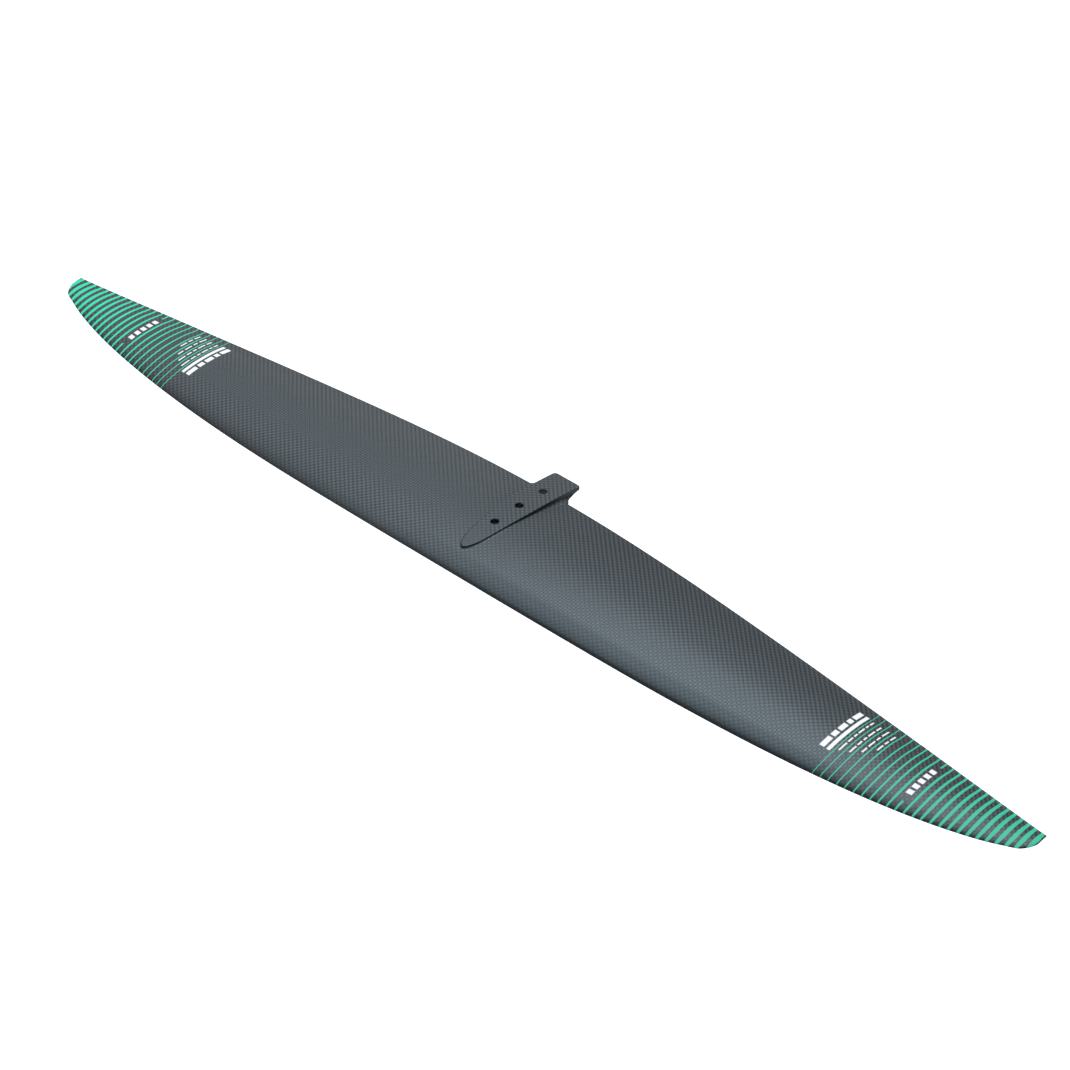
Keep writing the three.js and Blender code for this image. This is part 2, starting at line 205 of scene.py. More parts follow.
def to_row(P):
    """Design millimetres to the part's frame in metres."""
    P = np.asarray(P, float) - ORIGIN
    return np.stack([P[..., 0], P[..., 1] * CT - P[..., 2] * ST, P[..., 1] * ST + P[..., 2] * CT], -1) * 1e-3


def to_design(P):
    P = np.asarray(P, float) * 1e3
    return np.stack([P[..., 0], P[..., 1] * CT + P[..., 2] * ST, -P[..., 1] * ST + P[..., 2] * CT], -1) + ORIGIN


# ---------------------------------------------------------------------------
# Mesh helpers
# ---------------------------------------------------------------------------
def new_object(name, verts, faces, mats=(), index=None):
    me = bpy.data.meshes.new(name)
    me.from_pydata([tuple(v) for v in verts], [], [tuple(int(i) for i in f) for f in faces])
    me.validate(); me.update()
    ob = bpy.data.objects.new(name, me)
    SCN.collection.objects.link(ob)
    for m in mats:
        me.materials.append(m)
    if index is not None:
        me.polygons.foreach_set("material_index", index)
    return ob


def smooth(ob, degrees):
    me = ob.data
    me.polygons.foreach_set("use_smooth", [True] * len(me.polygons))
    me.set_sharp_from_angle(angle=math.radians(degrees))
    me.update()


def cut(ob, *cutters):
    """Subtracts each cutter from ob, as applied mesh."""
    for c in cutters:
        m = ob.modifiers.new("cut", "BOOLEAN")
        m.operation, m.solver, m.object = "DIFFERENCE", "EXACT", c
        dg = bpy.context.evaluated_depsgraph_get()
        dg.update()
        me = bpy.data.meshes.new_from_object(ob.evaluated_get(dg), preserve_all_data_layers=True, depsgraph=dg)
        old = ob.data
        ob.modifiers.clear()
        ob.data = me
        name = old.name
        bpy.data.meshes.remove(old)
        me.name = name
    for c in cutters:
        bpy.data.objects.remove(c, do_unlink=True)
    bm = bmesh.new(); bm.from_mesh(ob.data)
    bmesh.ops.triangulate(bm, faces=[f for f in bm.faces if len(f.verts) > 4])
    bmesh.ops.remove_doubles(bm, verts=bm.verts, dist=2e-6)
    bmesh.ops.dissolve_degenerate(bm, dist=2e-6, edges=bm.edges)
    bm.to_mesh(ob.data); bm.free()


def turned(name, profile, centre, seg=96):
    """Closed solid turned about the pad normal. profile: (radius, height) pairs from axis to axis, design millimetres."""
    pts, faces = [], []
    ring = profile[1:-1]
    a = np.linspace(0, 2 * math.pi, seg, endpoint=False)
    pts.append([centre[0], centre[1], profile[0][1]])
    for r, z in ring:
        for t in a:
            pts.append([centre[0] + r * math.cos(t), centre[1] + r * math.sin(t), z])
    pts.append([centre[0], centre[1], profile[-1][1]])
    last = len(pts) - 1
    for j in range(seg):
        k = (j + 1) % seg
        faces.append([0, 1 + k, 1 + j])
        for i in range(len(ring) - 1):
            a0, b0 = 1 + i * seg, 1 + (i + 1) * seg
            faces.append([a0 + j, a0 + k, b0 + k, b0 + j])
        a0 = 1 + (len(ring) - 1) * seg
        faces.append([a0 + j, a0 + k, last])
    return new_object(name, to_row(pts), faces)


def weave_coords(ob, upper=None):
    """Stores spanwise and chordwise millimetres along the cloth, and the chord fraction, on the mesh points."""
    me = ob.data
    n = len(me.vertices)
    co = np.empty(n * 3); me.vertices.foreach_get("co", co)
    P = to_design(co.reshape(-1, 3))
    s = np.clip(chord_pos(P[:, 0], P[:, 1]), 0, 1)
    x = np.abs(P[:, 0]) / K
    c = chord_at(np.minimum(x, TIP_X)) * K
    sg = np.linspace(0, 1, 400)**2
    base = surf(np.zeros_like(sg), sg, True) / (chord_at(0.0) * K)
    arc = np.concatenate([[0], np.cumsum(np.hypot(np.diff(base[:, 1]), np.diff(base[:, 2])))])
    # arc length measured back from the trailing edge, which is nearly straight across the middle
    y_te = te_y(np.minimum(x, TIP_X)) * K
    v = y_te - (arc[-1] - np.interp(s, sg, arc)) * c
    data = np.stack([P[:, 0], v, s], -1)
    at = me.attributes.get("cloth") or me.attributes.new("cloth", "FLOAT_VECTOR", "POINT")
    at.data.foreach_set("vector", data.astype(np.float32).ravel())


# ---------------------------------------------------------------------------
# Materials
# ---------------------------------------------------------------------------
class Graph:
    def __init__(self, name):
        self.mat = bpy.data.materials.new(name)
        self.mat.use_nodes = True
        self.nt = self.mat.node_tree
        self.nt.nodes.clear()
        self.out = self.nt.nodes.new("ShaderNodeOutputMaterial")
        self.bsdf = self.nt.nodes.new("ShaderNodeBsdfPrincipled")
        self.nt.links.new(self.bsdf.outputs[0], self.out.inputs["Surface"])

    def put(self, socket, v):
        if isinstance(v, bpy.types.NodeSocket):
            self.nt.links.new(v, socket)
        elif v is not None:
            socket.default_value = v

    def set(self, **kw):
        for k, v in kw.items():
            self.put(self.bsdf.inputs[k.replace("_", " ")], v)

    def math(self, op, a, b=None, c=None, clamp=False):
        n = self.nt.nodes.new("ShaderNodeMath"); n.operation = op; n.use_clamp = clamp
        for i, v in enumerate((a, b, c)):
            if v is not None:
                self.put(n.inputs[i], v)
        return n.outputs[0]

    def ramp(self, v, a, b, lo=0.0, hi=1.0, kind="SMOOTHSTEP"):
        n = self.nt.nodes.new("ShaderNodeMapRange"); n.interpolation_type = kind
        for k, x in (("Value", v), ("From Min", a), ("From Max", b), ("To Min", lo), ("To Max", hi)):
            self.put(n.inputs[k], x)
        return n.outputs[0]

    def mix(self, f, a, b):
        n = self.nt.nodes.new("ShaderNodeMix"); n.data_type = "RGBA"
        self.put(n.inputs[0], f); self.put(n.inputs[6], a); self.put(n.inputs[7], b)
        return n.outputs[2]

    def scale(self, col, f):
        """Colour times a number."""
        n = self.nt.nodes.new("ShaderNodeVectorMath"); n.operation = "SCALE"
        self.put(n.inputs[0], col); self.put(n.inputs["Scale"], f)
        return n.outputs[0]

    def object_xyz(self):
        tc = self.nt.nodes.new("ShaderNodeTexCoord")
        sp = self.nt.nodes.new("ShaderNodeSeparateXYZ")
        self.nt.links.new(tc.outputs["Object"], sp.inputs[0])
        return tc.outputs["Object"], sp.outputs

    def attribute(self, name):
        n = self.nt.nodes.new("ShaderNodeAttribute"); n.attribute_name = name
        sp = self.nt.nodes.new("ShaderNodeSeparateXYZ")
        self.nt.links.new(n.outputs["Vector"], sp.inputs[0])
        return sp.outputs

    def normal_z(self):
        g = self.nt.nodes.new("ShaderNodeNewGeometry")
        sp = self.nt.nodes.new("ShaderNodeSeparateXYZ")
        self.nt.links.new(g.outputs["Normal"], sp.inputs[0])
        return sp.outputs[2]

    def noise(self, vec, scale, detail=2.0, rough=.5, dim="3D"):
        n = self.nt.nodes.new("ShaderNodeTexNoise"); n.noise_dimensions = dim
        self.put(n.inputs["Vector"], vec)
        self.put(n.inputs["Scale"], scale); self.put(n.inputs["Detail"], detail); self.put(n.inputs["Roughness"], rough)
        return n.outputs["Fac"] if "Fac" in n.outputs else n.outputs[0]

    def voronoi(self, vec, scale, feature="F1"):
        n = self.nt.nodes.new("ShaderNodeTexVoronoi"); n.feature = feature
        self.put(n.inputs["Vector"], vec); self.put(n.inputs["Scale"], scale)
        return n.outputs

    def combine(self, x, y, z=0.0):
        n = self.nt.nodes.new("ShaderNodeCombineXYZ")
        for i, v in enumerate((x, y, z)):
            self.put(n.inputs[i], v)
        return n.outputs[0]

    def bump(self, h, strength, distance):
        n = self.nt.nodes.new("ShaderNodeBump")
        self.put(n.inputs["Height"], h)
        n.inputs["Strength"].default_value = strength; n.inputs["Distance"].default_value = distance
        self.nt.links.new(n.outputs[0], self.bsdf.inputs["Normal"])
        return n.outputs[0]


BASE = (.051, .0575, .0625)
TOW_X, TOW_Y = 2.9, 2.8            # tow pitch along the span and along the chord, millimetres


def stops(g, v, pairs):
    """Piecewise smooth value of v through (position, value) pairs."""
    n = g.nt.nodes.new("ShaderNodeValToRGB")
    n.color_ramp.interpolation = "EASE"
    e = n.color_ramp.elements
    while len(e) < len(pairs):
        e.new(.5)
    for k, (pos, val) in enumerate(pairs):
        e[k].position = pos; e[k].color = (val, val, val, 1)
    g.nt.links.new(v, n.inputs[0])
    return n.outputs[0]


def carbon(name, kind):
    """Matt plain-weave carbon. kind: shell or pad."""
    g = Graph(name)
    vec, xyz = g.object_xyz()
    if kind == "shell":
        u, v, s = g.attribute("cloth")
        au, ay = g.math("DIVIDE", g.math("ABSOLUTE", u), TOW_X), g.math("DIVIDE", v, TOW_Y)
    else:
        au, ay = g.math("MULTIPLY", g.math("ABSOLUTE", xyz[0]), 1000 / TOW_X), g.math("MULTIPLY", xyz[1], 1000 / TOW_Y)
        s = None
    # tows wander a little
    n1 = g.math("SUBTRACT", g.noise(g.combine(au, ay, 0.0), .05, 2), .5)
    n2 = g.math("SUBTRACT", g.noise(g.combine(ay, au, 7.3), .05, 2), .5)
    ax = g.math("ADD", au, g.math("MULTIPLY", n1, .34))
    ay = g.math("ADD", ay, g.math("MULTIPLY", n2, .34))
    px, py = g.math("MULTIPLY", ax, math.pi), g.math("MULTIPLY", ay, math.pi)
    cx, cy = g.math("COSINE", px), g.math("COSINE", py)
    # the two diagonals of the check; towards the rear one diagonal is made stronger, mirrored between the halves, as
    # painted shading of the tow bumps
    d1, d2 = g.math("COSINE", g.math("ADD", px, py)), g.math("COSINE", g.math("SUBTRACT", px, py))
    if kind == "shell":
        side = g.ramp(xyz[0], -.10, .12)             # 0 on the left half, 1 on the right half
        diag_shade_skew = g.math("MULTIPLY", g.ramp(s, .45, .75, .0, .17), g.math("SUBTRACT", g.math("MULTIPLY", side, 2.0), 1.0))
    else:
        diag_shade_skew = .08
    f = g.math("ADD", g.math("MULTIPLY", d1, g.math("ADD", .5, diag_shade_skew)), g.math("MULTIPLY", d2, g.math("SUBTRACT", .5, diag_shade_skew)))
    check = g.ramp(f, -.45, .45)                     # 1 where a spanwise tow lies on top
    dot = g.ramp(f, .35, .95)
    ox, oy = g.math("ABSOLUTE", cx), g.math("ABSOLUTE", cy)
    pin = g.math("MULTIPLY", g.ramp(ox, .0, .6, 1.0, 0.0), g.ramp(oy, .0, .6, 1.0, 0.0))    # pinholes between the tows
    crown = g.math("MAXIMUM", g.ramp(ox, .78, 1.0), g.ramp(oy, .78, 1.0))                  # tow crowns
    # every tow differs slightly, fibres show as fine streaks
    inv = g.math("SUBTRACT", 1.0, check)
    tow_u = g.noise(g.combine(g.math("ROUND", ay), g.math("MULTIPLY", ax, .02), 3.1), 3.7, 1)
    tow_v = g.noise(g.combine(g.math("ROUND", ax), g.math("MULTIPLY", ay, .02), 8.9), 3.7, 1)
    tow = g.math("ADD", g.math("MULTIPLY", check, tow_u), g.math("MULTIPLY", inv, tow_v))
    fib_u = g.noise(g.combine(g.math("MULTIPLY", ax, .35), g.math("MULTIPLY", ay, 9.0), 1.0), 1.0, 2)
    fib_v = g.noise(g.combine(g.math("MULTIPLY", ax, 9.0), g.math("MULTIPLY", ay, .35), 5.0), 1.0, 2)
    fib = g.math("ADD", g.math("MULTIPLY", check, fib_u), g.math("MULTIPLY", inv, fib_v))
    if kind == "shell":
        # weave contrast set by chord position and half: partly the weave's own pattern, partly painted sheen, the
        # light-dependent contrast of the tows laid into the colour
        right = stops(g, s, [(0, .6), (.08, .7), (.15, .14), (.27, .16), (.40, .70), (.52, 1.0), (1, .90)])
        left = stops(g, s, [(0, .5), (.10, .90), (.26, .80), (.42, .20), (.52, .22), (.72, .50), (1, .56)])
        k = g.math("ADD", g.math("MULTIPLY", right, side), g.math("MULTIPLY", left, g.math("SUBTRACT", 1.0, side)))
        grid = g.math("SUBTRACT", 1.0, k)
    else:
        k = g.ramp(xyz[1], -.058, -.02, .12, .75)
        grid = .25
    d = g.math("ADD", g.math("MULTIPLY", g.math("SUBTRACT", .5, check), .80), g.math("MULTIPLY", g.math("SUBTRACT", .16, dot), .42))
    level = g.math("ADD", 1.0, g.math("MULTIPLY", d, k))
    fine = g.math("SUBTRACT", g.math("MULTIPLY", g.math("SUBTRACT", crown, .4), .50), g.math("MULTIPLY", pin, .95))
    level = g.math("ADD", level, g.math("MULTIPLY", fine, g.math("ADD", .25, g.math("MULTIPLY", g.math("POWER", grid, 2.0), 1.6))))
    var = g.math("ADD", g.math("MULTIPLY", g.math("SUBTRACT", tow, .5), .22), g.math("MULTIPLY", g.math("SUBTRACT", fib, .5), .20))
    level = g.math("ADD", level, var)
    if s is not None:
        # painted light: on both halves the nose is darkened as painted shade; on the right half the front-middle of the
        # chord is lifted as a painted highlight and the rear darkened as painted shade
        painted_light_r = stops(g, s, [(0, .30), (.012, .20), (.045, .08), (.10, .38), (.19, 1.0), (.38, .94), (.60, .76), (1, .65)])
        painted_light_l = stops(g, s, [(0, .48), (.045, .74), (.11, .95), (.20, 1.06), (1, 1.04)])
        painted_light = g.math("ADD", g.math("MULTIPLY", painted_light_r, side), g.math("MULTIPLY", painted_light_l, g.math("SUBTRACT", 1.0, side)))
        level = g.math("MULTIPLY", g.math("MAXIMUM", level, .06), painted_light)
    else:
        # painted shade: steep walls of the pad darker than its top face
        wall_shade_nz = g.math("ABSOLUTE", g.normal_z())
        level = g.math("MULTIPLY", level, g.ramp(wall_shade_nz, .45, .97, .12, .95))
    base = BASE
    g.set(Base_Color=g.scale(base, level), Specular_IOR_Level=.25, Specular_Tint=(.66, .87, 1.0, 1))
    g.set(Roughness=g.math("ADD", .36, g.math("MULTIPLY", check, .07)))
    h = g.math("POWER", g.math("ABSOLUTE", g.math("MULTIPLY", cx, cy)), .6)
    h = g.math("ADD", h, g.math("MULTIPLY", check, .35))
    g.bump(h, .12, .00012)
    return g.mat


def paint(name, rgb, rough, left=1.0, right=1.0):
    """Satin paint film; left and right scale its colour at the two tips, a painted highlight where it is higher."""
    g = Graph(name)
    vec, xyz = g.object_xyz()
    n = g.noise(vec, 260.0, 3)
    n2 = g.noise(vec, 30.0, 2)
    level = g.math("ADD", .96, g.math("MULTIPLY", g.math("ADD", g.math("MULTIPLY", n, .5), g.math("MULTIPLY", n2, .5)), .08))
    # painted highlight: colour scaled from the left tip to the right tip
    level = g.math("MULTIPLY", level, g.ramp(xyz[0], -.4, .4, left, right))
    g.set(Base_Color=g.scale(rgb, level), Roughness=g.math("ADD", rough, g.math("MULTIPLY", n, .08)), Specular_IOR_Level=.30)
    g.bump(n, .12, .00005)
    return g.mat


def laminate(name):
    """Solid unidirectional laminate, seen only where the wing is opened."""
    g = Graph(name)
    vec, xyz = g.object_xyz()
    fib = g.noise(g.combine(g.math("MULTIPLY", xyz[0], 12.0), g.math("MULTIPLY", xyz[1], 900.0), g.math("MULTIPLY", xyz[2], 900.0)), 1.0, 3)
    g.set(Base_Color=g.mix(fib, (.012, .013, .014, 1), (.06, .063, .066, 1)), Roughness=g.ramp(fib, .2, .8, .35, .5), Specular_IOR_Level=.5)
    g.bump(fib, .3, .0001)
    return g.mat


def foam(name):
    """Closed-cell structural foam."""
    g = Graph(name)
    vec, xyz = g.object_xyz()
    v = g.voronoi(vec, 900.0)
    cell = v["Distance"]
    n = g.noise(vec, 60.0, 3)
    col = g.mix(g.ramp(cell, .2, .75), (.74, .66, .46, 1), (.50, .42, .26, 1))
    g.set(Base_Color=g.mix(g.ramp(n, .3, .7, 0.0, .35), col, (.62, .52, .34, 1)), Roughness=.9, Specular_IOR_Level=.2)
    g.bump(cell, .5, .0004)
    return g.mat


def resin(name):
    """Milled-fibre bonding paste."""
    g = Graph(name)
    vec, xyz = g.object_xyz()
    n = g.noise(vec, 220.0, 4)
    m = g.noise(vec, 1400.0, 2)
    g.set(Base_Color=g.mix(g.ramp(n, .35, .65), (.10, .11, .12, 1), (.18, .18, .17, 1)), Roughness=g.ramp(m, .2, .8, .4, .65), Specular_IOR_Level=.5)
    g.bump(m, .25, .0002)
    return g.mat


def turned_steel(name, y, z):
    """Turned stainless ring: fine concentric tool marks about its own axis."""
    g = Graph(name)
    vec, xyz = g.object_xyz()
    dy = g.math("SUBTRACT", xyz[1], y)
    r = g.math("SQRT", g.math("ADD", g.math("MULTIPLY", xyz[0], xyz[0]), g.math("MULTIPLY", dy, dy)))
    ring = g.noise(g.combine(g.math("MULTIPLY", r, 9000.0), 0.0), 1.0, 2)
    n = g.noise(vec, 300.0, 3)
    g.set(Base_Color=g.mix(n, (.52, .53, .54, 1), (.66, .665, .67, 1)), Metallic=1.0,
          Roughness=g.math("ADD", .24, g.math("MULTIPLY", ring, .16)))
    g.bump(ring, .25, .00004)
    return g.mat


CARBON = carbon("carbon_weave", "shell")
PAD_CARBON = carbon("carbon_pad", "pad")
# mint paint brighter at the left tip as a painted highlight, darker at the right tip
GREEN = paint("mint_paint", (.018, .470, .285), .50, 1.18, .90)
WHITE = paint("white_paint", (.72, .73, .73), .46)


# ---------------------------------------------------------------------------
# Camera
# ---------------------------------------------------------------------------
def make_camera():
    f, az, el, roll, dist = 3830.6417, 0.7432, 0.6438, 0.0192, 3588.1679
    target = np.array([0.0, 22.1411, -46.326])
    back = np.array([math.sin(az) * math.cos(el), -math.cos(az) * math.cos(el), math.sin(el)])
    pos = (target + back * dist) * K
    right = np.array([math.cos(az), math.sin(az), 0.0])
    up = np.cross(back, right)
    cr, sr = math.cos(roll), math.sin(roll)
    right, up = cr * right + sr * up, -sr * right + cr * up
    rot = np.array([[1, 0, 0], [0, CT, -ST], [0, ST, CT]])
    right, up, back = rot @ right, rot @ up, rot @ back
    p = to_row(pos)
    cam = bpy.data.cameras.new("view"); ob = bpy.data.objects.new("view", cam)
    SCN.collection.objects.link(ob)
    cam.sensor_fit = "HORIZONTAL"; cam.sensor_width = 36.0
    cam.lens = f / 1070.0 * 36.0
    cam.clip_start, cam.clip_end = .1, 60.0
    m = Matrix.Identity(4)
    for i in range(3):
        m[i][0], m[i][1], m[i][2], m[i][3] = right[i], up[i], back[i], p[i]
    ob.matrix_world = m
    SCN.camera = ob


make_camera()


# ---------------------------------------------------------------------------
# The two shells
# ---------------------------------------------------------------------------
def span_stations():
    a = np.concatenate([np.linspace(0, 540, 151), np.linspace(543, 600, 24),
                        TIP_X - np.array([12.4, 11.2, 10, 8.8, 7.6, 6.5, 5.5, 4.6, 3.8, 3.1, 2.5, 1.95, 1.45, 1.05, .72, .45, .24, .09, 0])])
    return np.concatenate([-a[:0:-1], a]) * K


def chord_stations(n=62):
    q = np.linspace(0, 1, n + 1)
    s = q**2
    extra = np.array([.955, .985])
    return np.unique(np.concatenate([s, extra]))


def shell(name, upper):
    xs, ss = span_stations(), chord_stations()
    nx, ns = len(xs), len(ss)
    X, S = np.meshgrid(xs, ss, indexing="ij")
    outer = surf(X, S, upper)
    inner = surf(X, S, upper, inward=1.2)
    V = np.concatenate([outer.reshape(-1, 3), inner[:, 1:].reshape(-1, 3)])
    O = np.arange(nx * ns).reshape(nx, ns)
    I = np.concatenate([O[:, :1], nx * ns + np.arange(nx * (ns - 1)).reshape(nx, ns - 1)], 1)
    F = []

    def quad(a, b, c, d):
        f = [a, b, c, d] if upper else [d, c, b, a]
        g = [f[0]]
        for v in f[1:]:
            if v != g[-1]:
                g.append(v)
        if g[0] == g[-1]:
            g.pop()
        if len(g) > 2:
            F.append(g)
    for i in range(nx - 1):
        for j in range(ns - 1):
            quad(O[i, j], O[i + 1, j], O[i + 1, j + 1], O[i, j + 1])
            quad(I[i, j], I[i, j + 1], I[i + 1, j + 1], I[i + 1, j])
        quad(O[i, -1], O[i + 1, -1], I[i + 1, -1], I[i, -1])
    for j in range(ns - 1):
        quad(O[0, j], O[0, j + 1], I[0, j + 1], I[0, j])
        quad(O[-1, j], I[-1, j], I[-1, j + 1], O[-1, j + 1])
    return new_object(name, to_row(V), F, [CARBON])


def screw_cutters(radius, lo=-40.0, hi=20.0):
    return [turned("cutter", [(0, lo), (radius, lo), (radius, hi), (0, hi)], (0.0, y * K)) for y in SCREW_Y]


def edge_normals(ob, upper):
    """Smooth shading across the leading-edge joint: both shells share one normal there."""
    me = ob.data
    n = len(me.vertices)
    co = np.empty(n * 3); me.vertices.foreach_get("co", co)
    P = to_design(co.reshape(-1, 3))
    s = chord_pos(np.clip(P[:, 0], -TIP_X * K + 1e-6, TIP_X * K - 1e-6), P[:, 1])
    on_le = s < 2e-5
    L = len(me.loops)
    vi = np.empty(L, int); me.loops.foreach_get("vertex_index", vi)
    nor = np.empty(L * 3); me.corner_normals.foreach_get("vector", nor); nor = nor.reshape(-1, 3)
    fn = np.empty(len(me.polygons) * 3); me.polygons.foreach_get("normal", fn); fn = fn.reshape(-1, 3)
    starts = np.empty(len(me.polygons), int); me.polygons.foreach_get("loop_start", starts)
    face_of = np.searchsorted(starts, np.arange(L), side="right") - 1
    outer = fn[face_of, 2] * (1 if upper else -1) > 0
    # forward normal of the leading edge in plan, tilted to the chord line
    x = np.abs(P[:, 0]) / K
    e = .5
    xa, xb = np.clip(x - e, 0, TIP_X), np.clip(x + e, 0, TIP_X)

    def le(xx):
        c, th = chord_at(xx), np.radians(pitch_at(xx))
        return np.stack([xx, te_y(xx) - c * np.cos(th), te_z(xx) - c * np.sin(th)], -1)
    t = le(xb) - le(xa); t /= np.linalg.norm(t, axis=1, keepdims=True)
    t[:, 0] *= np.sign(P[:, 0]) + (P[:, 0] == 0)
    th = np.radians(pitch_at(np.minimum(x, TIP_X)))
    fwd = np.stack([np.zeros_like(x), -np.cos(th), -np.sin(th)], -1)
    nn = fwd - t * (fwd * t).sum(1, keepdims=True)
    nn /= np.linalg.norm(nn, axis=1, keepdims=True)
    nn = np.stack([nn[:, 0], nn[:, 1] * CT - nn[:, 2] * ST, nn[:, 1] * ST + nn[:, 2] * CT], -1)
    sel = on_le[vi] & outer
    nor[sel] = nn[vi][sel]
    me.normals_split_custom_set([tuple(v) for v in nor])
    me.update()


upper = shell("wing_upper_shell", True)
cut(upper, *screw_cutters(HOLE_R * 1.12))
smooth(upper, 32)
edge_normals(upper, True)
weave_coords(upper)
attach(upper, "root"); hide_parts("upper_skin")

lower = shell("wing_lower_shell", False)
cut(lower, *[turned("cutter", [(0, -40), (SEAT_R + .12, -40), (SEAT_R + .12, 20), (0, 20)], (0.0, y * K)) for y in SCREW_Y])
smooth(lower, 32)
edge_normals(lower, False)
weave_coords(lower)
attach(lower, "root"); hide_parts("lower_skin")


# ---------------------------------------------------------------------------
# Mounting pad with its tongue
# ---------------------------------------------------------------------------
NOSE_Y, REAR_Y, CORNER = -76.15, 66.75, 4.0
w2 = pchip(np.concatenate([[NOSE_Y - .04], PAD[:, 0], TONGUE[1:, 0]]),
           np.concatenate([[0.0], PAD[:, 1]**2, TONGUE[1:, 1]**2]))
foot_f = pchip(np.concatenate([[NOSE_Y - .04], PAD[:, 0], TONGUE[1:, 0]]),
               np.concatenate([[1.7], (PAD[:, 2] - PAD[:, 1]), (TONGUE[1:, 2] - TONGUE[1:, 1])]))
bottom_f = pchip(TONGUE[:, 0], TONGUE[:, 3])


def pad_half(y):
    w = np.sqrt(np.clip(w2(y), 1e-4, None))
    t = np.clip((y - (REAR_Y - CORNER)) / CORNER, 0, 1)
    return w - CORNER * (1 - np.sqrt(np.clip(1 - t * t, 0, 1)))


def make_pad():
    a = np.linspace(0, 1, 26)
    ys = np.unique(np.round(np.concatenate([
        NOSE_Y + 14 * a**2, np.arange(NOSE_Y + 14, REAR_Y - CORNER - 1, 1.25),
        REAR_Y - CORNER * 1.2 * (1 - np.sin(a * math.pi / 2)), [40.19, 40.9]]), 4))
    ys = ys[np.concatenate([[True], np.diff(ys) > 0.012])]
    ys[-1] = REAR_Y
    m = len(ys)
    half = 34
    v = np.linspace(0, 1, half + 1)
    u = 1 - (1 - v)**1.9
    u = np.concatenate([-u[:0:-1], u])
    n = len(u)
    W = pad_half(ys)
    X = u[None, :] * W[:, None]
    Y = np.repeat(ys[:, None], n, 1)
    # outline, counter-clockwise seen from above: nose edge, right side, rear edge, left side
    loop = [(0, j) for j in range(n)] + [(i, n - 1) for i in range(1, m)] + [(m - 1, j) for j in range(n - 2, -1, -1)] + [(i, 0) for i in range(m - 2, 0, -1)]
    li, lj = np.array(loop).T
    B = np.stack([X[li, lj], Y[li, lj]], -1)
    # distance to the outline, for the rounded edge
    P = np.stack([X, Y], -1).reshape(-1, 2)
    A0, A1 = B, np.roll(B, -1, 0)
    D = np.full(len(P), 1e9)
    for a0, a1 in zip(A0, A1):
        e = a1 - a0; L = (e * e).sum()
        t = np.clip(((P - a0) @ e) / max(L, 1e-12), 0, 1)
        D = np.minimum(D, np.hypot(*(P - a0 - t[:, None] * e).T))
    D = D.reshape(m, n)
    R = 1.0
    R = np.minimum(R, .5 + .5 * ease((Y - NOSE_Y) / 30))
    drop = np.where(D < R, R - np.sqrt(np.clip(R * R - (R - D)**2, 0, None)), 0)
    top = face_z(Y) - drop
    # outward direction along the outline
    T = np.roll(B, -1, 0) - np.roll(B, 1, 0)
    N = np.stack([T[:, 1], -T[:, 0]], -1)
    N /= np.linalg.norm(N, axis=1, keepdims=True)
    for _ in range(2):
        N = (np.roll(N, 1, 0) + 2 * N + np.roll(N, -1, 0)) / 4
        N /= np.linalg.norm(N, axis=1, keepdims=True)
    g = foot_f(B[:, 1])
    side = np.abs(N[:, 0])
    rear = ease((B[:, 1] - 58) / 8) * (1 - side)
    g = g * (1 - rear) + .10 * rear
    footP = B + N * g[:, None]
    # height of the foot: on the skin, or the tongue's underside behind the trailing edge
    fx, fy = footP[:, 0] * K, footP[:, 1] * K
    te = te_y(np.abs(footP[:, 0]))
    skin = skin_z(fx, fy) / K
    zf = np.where(footP[:, 1] < te, skin - .06, bottom_f(np.clip(footP[:, 1], 40.55, 66.7)))
    wgt = ease((footP[:, 1] - (te - 2.0)) / 4.0)
    zf = (skin - .06) * (1 - wgt) + bottom_f(np.clip(footP[:, 1], 40.55, 66.7)) * wgt
    zt = top[li, lj]
    rings = []
    K_W = 14
    for k in range(1, K_W + 1):
        ph = k / K_W * math.pi / 2
        q = B + (footP - B) * (1 - math.cos(ph))
        z = zt - (zt - zf) * math.sin(ph)
        rings.append(np.column_stack([q, z]))
    nl = len(loop)
    verts = [np.stack([X, Y, top], -1).reshape(-1, 3)] + rings
    base = m * n
    F = []
    for i in range(m - 1):
        for j in range(n - 1):
            F.append([i * n + j, i * n + j + 1, (i + 1) * n + j + 1, (i + 1) * n + j])
    prev = [i * n + j for i, j in loop]
    for k in range(K_W):
        cur = [base + k * nl + q for q in range(nl)]
        for q in range(nl):
            r = (q + 1) % nl
            F.append([prev[q], cur[q], cur[r], prev[r]])
        prev = cur
    # underside: straight across between the two feet of every row
    at = {loop[q]: prev[q] for q in range(nl)}
    off = base + K_W * nl
    low = []
    ids = np.zeros((m, n), int)
    foot_of = {loop[q]: np.append(footP[q], zf[q]) for q in range(nl)}
    for i in range(m):
        for j in range(n):
            if (i, j) in at:
                ids[i, j] = at[(i, j)]
            else:
                t = (u[j] + 1) / 2
                p = foot_of[(i, 0)] * (1 - t) + foot_of[(i, n - 1)] * t
                deep = .9 * (1 - ease((p[1] - 33) / 7))
                edge = ease(min(t, 1 - t) * 12)
                zs = float(skin_z(p[0] * K, p[1] * K)) / K if p[1] < 39.5 else p[2]
                p[2] = min(p[2], zs) - deep * edge if p[1] < 39.5 else p[2]
                ids[i, j] = off + len(low)
                low.append(p)
    verts.append(np.array(low))
    for i in range(m - 1):
        for j in range(n - 1):
            F.append([ids[i, j], ids[i + 1, j], ids[i + 1, j + 1], ids[i, j + 1]])
    V = np.concatenate(verts) * K
    return new_object("mounting_pad_moulded", to_row(V), F, [PAD_CARBON])


